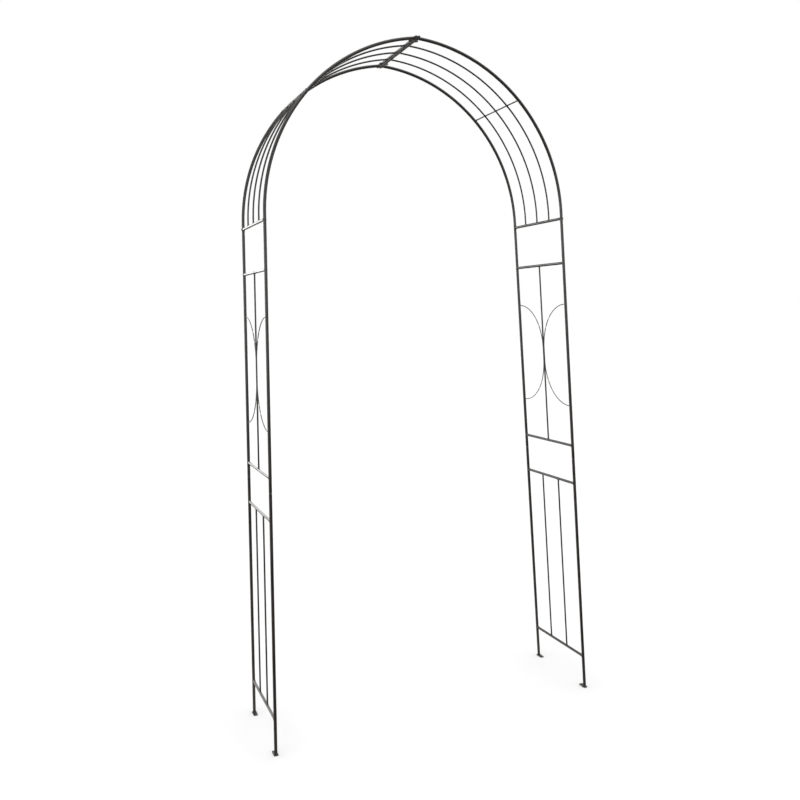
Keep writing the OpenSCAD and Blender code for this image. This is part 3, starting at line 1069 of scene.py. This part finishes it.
def cross_welds(loft):
    """The tacks of the cross rod, at the inner hoops and at its ends."""
    at = middle("right_arch_cross_rod")
    angle = math.atan2(at.z - bend_z, at.x - bend_x)
    climb = arc_way(angle)
    above = at - on_arc(angle)
    for share in INNER_ROWS.values():
        for way in BOTH_WAYS:
            spot = on_arc(angle, share * half_gap) + above / 2 + climb * way * CROSSING_STEP
            tack(loft, spot, ALONG, CROSSING_TACK_LENGTH, CROSSING_TACK)
    for row in BOTH_WAYS:
        for way in BOTH_WAYS:
            end = at + ALONG * row * END_REACH + climb * way * END_STEP
            tack(loft, end - above / 4, ALONG, END_TACK_LENGTH, END_TACK)


for side_name, side in SIDES.items():
    roof_welds(side_name, side)
print("weld pieces of the roof:", len(SIDES))

# %% [markdown]
# ## Turned parts
#
# Fasteners are turned parts, so they are lofted along their own axis. A hexagon is a circle whose
# radius depends on the turn, and the chamfer on a bolt head is a cone that cuts its corners: at
# each ring the radius is whichever is smaller, hexagon or cone. The thread is a true helix. Its
# radius depends on the height and on the turn together, so the groove climbs as it goes round.

# %% Turned shapes
AROUND_HEX = 72
AROUND_BOLT = 32
THREAD_PITCH = 0.8 * MM
THREAD_DEPTH = 0.35 * MM
HANDLED_RUB = 0.2
HALF_SIDE = math.radians(30)


def hexagon(corner_r):
    """Radius of a hexagon at a turn, cut down to a limit."""
    flat_r = corner_r * math.cos(HALF_SIDE)

    def radius(turn, height, limit):
        off = turn % (2 * HALF_SIDE) - HALF_SIDE
        return min(flat_r / math.cos(off), limit)
    return radius


def plain(turn, height, limit):
    return limit


def thread(turn, height, limit):
    climb = (height / THREAD_PITCH - turn / (2 * math.pi)) % 1
    return limit - THREAD_DEPTH * abs(2 * climb - 1)


def turned(loft, origin, axis, rows, shape=plain, around=AROUND_HEX):
    """A turned shape: rows of (height, largest radius) up an axis."""
    rings = []
    for height, limit in rows:
        rings.append(ring_of(origin + axis * height, axis,
                             lambda turn: shape(turn, height, limit), around))
    loft.add(rings, [HANDLED_RUB] * len(rings))


def hex_rows(bottom, top, corner_r, both_ends=False):
    """Rows of a hexagon with a chamfered top, and a chamfered bottom too for a nut."""
    cut = 0.096 * corner_r
    rows = [(top - cut, corner_r), (top, 0.88 * corner_r)]
    if both_ends:
        return [(bottom, 0.9 * corner_r), (bottom + cut, corner_r)] + rows
    return [(bottom, corner_r)] + rows


print("threads have a pitch of", THREAD_PITCH / MM, "mm")

# %% [markdown]
# ## Bolts and nuts of the crown
#
# Two bolts run level through both crown bars. A bolt is three turned shapes on one axis: a hex
# head whose outer corners are cut back in two steps, a plain shank between head and nut, and a
# thread from the nut outwards. Further in the thread is left out, because nobody sees it there
# and each turn of a helix costs many faces.

# %% Crown bolts and nuts
BOLT_AXIS = Vector((1, 0, 0))
BOLT_R = 2.5 * MM
HEAD_T = 3.5 * MM
HEAD_STEPS = [(0.0, 0.7), (0.25 * MM, 0.88), (0.7 * MM, 1.0), (HEAD_T, 1.0)]
THREAD_END_CUT = 0.4 * MM
RINGS_PER_PITCH = 8

bolt_low, bolt_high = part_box("crown_bolts")
nut_low, nut_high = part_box("crown_nuts")
hex_corner = (bolt_high.z - bolt_low.z) / 2
bolt_y = bolt_high.y - hex_corner * math.cos(HALF_SIDE)
spare = bolt_high.x - nut_low.x
thread_rings = round(spare / THREAD_PITCH * RINGS_PER_PITCH)

head_rows = [(bolt_low.x + step, share * hex_corner) for step, share in HEAD_STEPS]
shank_rows = [(bolt_low.x + HEAD_T, BOLT_R), (nut_low.x, BOLT_R)]
thread_rows = [(nut_low.x + spare * k / thread_rings, BOLT_R) for k in range(thread_rings)]
thread_rows.append((bolt_high.x, BOLT_R - THREAD_END_CUT))
nut_rows = hex_rows(nut_low.x, nut_high.x, hex_corner, both_ends=True)

bolts, nuts = Loft(), Loft()
for row in ROWS.values():
    centre = Vector((0, row * bolt_y, crown.z))
    turned(bolts, centre, BOLT_AXIS, head_rows, hexagon(hex_corner))
    turned(bolts, centre, BOLT_AXIS, shank_rows, around=AROUND_BOLT)
    turned(bolts, centre, BOLT_AXIS, thread_rows, thread, around=AROUND_BOLT)
    turned(nuts, centre, BOLT_AXIS, nut_rows, hexagon(hex_corner))
piece("crown_bolts_zinc", bolts, zinc, ["crown_bolts"])
piece("crown_nuts_zinc", nuts, zinc, ["crown_nuts"])
print(f"crown bolts {bolt_y / MM:.0f} mm either side of the middle")

# %% [markdown]
# ## Locking screws
#
# A short screw goes through the foot of each outer hoop into the neck inside it, so that the roof
# can't lift off the legs. What shows is its head: a low hexagon on a round flange, seated flat on
# the outer side of the tube. The four screws are one engineering node, so the two of each half are
# drawn in a loft of their own, which turns them with their side, and then joined to one piece.

# %% Spring screws
SCREW_CORNER = 3.5 * MM
SCREW_HEAD = 2 * MM
FLANGE = 0.5 * MM
AROUND_FLANGE = 48
screw_hex = 0.86 * SCREW_CORNER
flange_rows = [(0, SCREW_CORNER), (FLANGE, 0.96 * SCREW_CORNER)]

screws = Loft()
for side in SIDES.values():
    half = Loft(side)
    for row in ROWS.values():
        seat = spring_bar + ALONG * row * half_gap + leg_out * tube_r
        turned(half, seat, leg_out, flange_rows, around=AROUND_FLANGE)
        turned(half, seat, leg_out, hex_rows(FLANGE, SCREW_HEAD, screw_hex), hexagon(screw_hex))
    offset = len(screws.points)
    screws.points += half.points
    screws.rubs += half.rubs
    screws.faces += [tuple(offset + k for k in face) for face in half.faces]
piece("spring_screws_zinc", screws, zinc, ["spring_screws"])
print("spring screws:", len(SIDES) * len(ROWS))

# %% [markdown]
# ## The crown
#
# Two short bars lie side by side at the top, one for each half of the arch, and two bolts hold
# them together. Their open ends are closed by plastic plugs with a domed rim. The saddle washers
# under the bolt heads and nuts already have their true shape in the engineering model, so they
# keep their mesh and only get the zinc finish.

# %% Crown bars and plugs
BAR_END_RUB = 0.3
PLUG_RIM = 2.5 * MM
PLUG_WALL = 1.3 * MM
PLUG_EDGE = 0.3 * MM
DOME_STEPS = 6
DOME_START = 0.4

plug_rows = [(0.0, bar_r - PLUG_EDGE), (PLUG_EDGE / 2, bar_r), (PLUG_RIM * DOME_START, bar_r)]
for step in range(1, DOME_STEPS + 1):
    a = math.pi / 2 * step / DOME_STEPS
    height = PLUG_RIM * (DOME_START + (1 - DOME_START) * math.sin(a))
    plug_rows.append((height, bar_r - PLUG_WALL * (1 - math.cos(a))))

plugs = Loft()
for side_name, side in SIDES.items():
    name = f"{side_name}_arch_crown_bar"
    reach = ALONG * extent(name).y / 2
    loft = Loft(side)
    sweep(loft, straight(crown - reach, crown + reach), bar_r, "rim", "rim",
          rub=(BAR_END_RUB, BAR_END_RUB))
    piece(f"{name}_steel", loft, tube_paint, [name])
    for row in ROWS.values():
        mouth = Vector((side * crown.x, 0, crown.z)) + reach * row
        turned(plugs, mouth, ALONG * row, plug_rows, around=AROUND_TUBE)
piece("crown_end_plugs_plastic", plugs, plastic, ["crown_end_plugs"])

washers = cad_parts["crown_saddle_washers"]
washers.data.materials.clear()
washers.data.materials.append(zinc)
print("crown bars and plugs:", len(SIDES), len(SIDES) * len(ROWS))

# %% [markdown]
# ## The floor
#
# The arch stands on a plain white floor. Satin black paint shows almost nothing of its own colour:
# what it shows is a dim mirror image of what lies around it. A white floor all over would light up
# the lower parts, which are nearly black on such an arch. So the floor is white to the eye, but in
# the paint it is dark close to the viewer, pale under the arch and pale again far behind it. Both
# pale bands fade in gradually with the distance from front to rear.

# %% The floor
FLOOR_SIZE = 60.0
SEEN_FLOOR = (0.77, 0.77, 0.77, 1)
NEAR_FLOOR = (0.065, 0.061, 0.057, 1)
FAR_FLOOR = (0.95, 0.93, 0.90, 1)
PALE_FROM, PALE_TO = (-0.5, 0.1), (1.5, 3.0)
BEYOND_FROM = (6.0, 13.0)
UNDER_SHARE, BEYOND_SHARE = 0.5, 1.0


def pale_floor():
    """A floor that is white to the eye but only partly mirrored in the paint."""
    material, tree, shader = new_finish("pale_floor")
    seen = node(tree, "ShaderNodeLightPath").outputs["Is Camera Ray"]
    depth = node(tree, "ShaderNodeSeparateXYZ", {"Vector": object_place(tree)}).outputs["Y"]
    under = math_node(tree, "MULTIPLY", remap(tree, depth, *PALE_FROM, 0.0, UNDER_SHARE),
                      remap(tree, depth, *PALE_TO, 1.0, 0.0))
    beyond = remap(tree, depth, *BEYOND_FROM, 0.0, BEYOND_SHARE)
    mirrored = mix(tree, math_node(tree, "ADD", under, beyond), NEAR_FLOOR, FAR_FLOOR)
    tree.links.new(mix(tree, seen, mirrored, SEEN_FLOOR), shader.inputs["Base Color"])
    shader.inputs["Roughness"].default_value = 0.9
    shader.inputs["Specular IOR Level"].default_value = 0.1
    return material


half_floor = FLOOR_SIZE / 2
corners = [(x * half_floor, y * half_floor, 0) for x, y in ((-1, -1), (1, -1), (1, 1), (-1, 1))]
floor_mesh = bpy.data.meshes.new("floor")
floor_mesh.from_pydata(corners, [], [(0, 1, 2, 3)])
floor_mesh.materials.append(pale_floor())
floor = bpy.data.objects.new("floor", floor_mesh)
bpy.context.scene.collection.objects.link(floor)
print(f"floor {FLOOR_SIZE:.0f} m square")

# %% [markdown]
# ## The room and its light
#
# The room matters more than the lamps, for the same reason. Seen straight on it is plain white.
# What the paint mirrors is shaped by the direction it comes from: the wall behind the viewer is
# brighter than the side walls, the left is brighter than the right, the ceiling is dim, and low
# down at the far end there is a bright window. The bars, which are seen nearly end on, mirror that
# window. One very soft lamp overhead gives the faint shadows at the feet.

# %% The room
NEAR_WALL = 1.9
SIDE_WALL = 1.3
CEILING = 0.45
WINDOW = 3.4
LEFT_GAIN, RIGHT_GAIN = 1.5, 0.75
WALL_TURN, GAIN_TURN, CEILING_RISE = (-0.5, 0.4), (-0.6, -0.1), (0.08, 0.35)
WINDOW_EDGE, WINDOW_TOP = (0.8, 0.95), (0.22, 0.38)
SEEN_STRENGTH = 1.0


def studio_world():
    world = bpy.data.worlds.new("white_studio")
    world.use_nodes = True
    tree = world.node_tree
    way = node(tree, "ShaderNodeTexCoord").outputs["Generated"]
    x, y, z = node(tree, "ShaderNodeSeparateXYZ", {"Vector": way}).outputs
    walls = remap(tree, y, *WALL_TURN, NEAR_WALL, SIDE_WALL)
    room = remap(tree, z, *CEILING_RISE, walls, CEILING)
    room = math_node(tree, "MULTIPLY", room, remap(tree, x, *GAIN_TURN, LEFT_GAIN, RIGHT_GAIN))
    window = math_node(tree, "MULTIPLY", remap(tree, y, *WINDOW_EDGE, 0.0, WINDOW),
                       remap(tree, z, *WINDOW_TOP, 1.0, 0.0))
    room = math_node(tree, "ADD", room, window)
    seen = node(tree, "ShaderNodeLightPath").outputs["Is Camera Ray"]
    back = tree.nodes["Background"]
    tree.links.new(remap(tree, seen, 0.0, 1.0, room, SEEN_STRENGTH), back.inputs["Strength"])
    back.inputs["Color"].default_value = (1, 1, 1, 1)
    return world


bpy.context.scene.world = studio_world()
print("room:", bpy.context.scene.world.name)

# %% [markdown]
# ## The lamp
#
# A small lamp would draw hard black lines on the floor under every tube. A sun whose disc is a
# hundred degrees wide acts like a whole lit ceiling, and leaves only a faint shade at the feet.

# %% The lamp
LAMP_STRENGTH = 2.6
LAMP_WIDTH = math.radians(100)
LAMP_LEAN = (math.radians(8), math.radians(6), 0)

sky = bpy.data.lights.new("soft_ceiling", "SUN")
sky.energy = LAMP_STRENGTH
sky.angle = LAMP_WIDTH
soft_ceiling = bpy.data.objects.new("soft_ceiling", sky)
soft_ceiling.rotation_euler = LAMP_LEAN
bpy.context.scene.collection.objects.link(soft_ceiling)
print("lamp:", soft_ceiling.name)

# %% [markdown]
# ## The camera
#
# The viewer stands in front of the arch and to its left, with the eye at about shoulder height,
# and looks slightly down and to the right. The camera is placed with a matrix: its three columns
# are the ways right, up and backwards, turned by the heading, the tilt and a small roll.

# %% Camera
SENSOR = 36.0
FOCAL_PER_WIDTH = 1.1066
EYE = Vector((-1.1938, -3.0128, 1.4953))
HEADING, TILT, ROLL = 0.3652, -0.1055, -0.0398

ahead = Vector((math.sin(HEADING) * math.cos(TILT), math.cos(HEADING) * math.cos(TILT),
                math.sin(TILT)))
level_right = Vector((math.cos(HEADING), -math.sin(HEADING), 0))
level_up = level_right.cross(ahead)
right = level_right * math.cos(ROLL) + level_up * math.sin(ROLL)
upward = level_up * math.cos(ROLL) - level_right * math.sin(ROLL)
camera_data = bpy.data.cameras.new("camera")
camera_data.sensor_width = SENSOR
camera_data.lens = SENSOR * FOCAL_PER_WIDTH
camera = bpy.data.objects.new("camera", camera_data)
turned_to = Matrix((right, upward, -ahead)).transposed().to_4x4()
camera.matrix_world = Matrix.Translation(EYE) @ turned_to
bpy.context.scene.collection.objects.link(camera)
bpy.context.scene.camera = camera
bpy.context.scene.view_settings.view_transform = "Standard"
print("lens", round(camera_data.lens, 2), "mm")
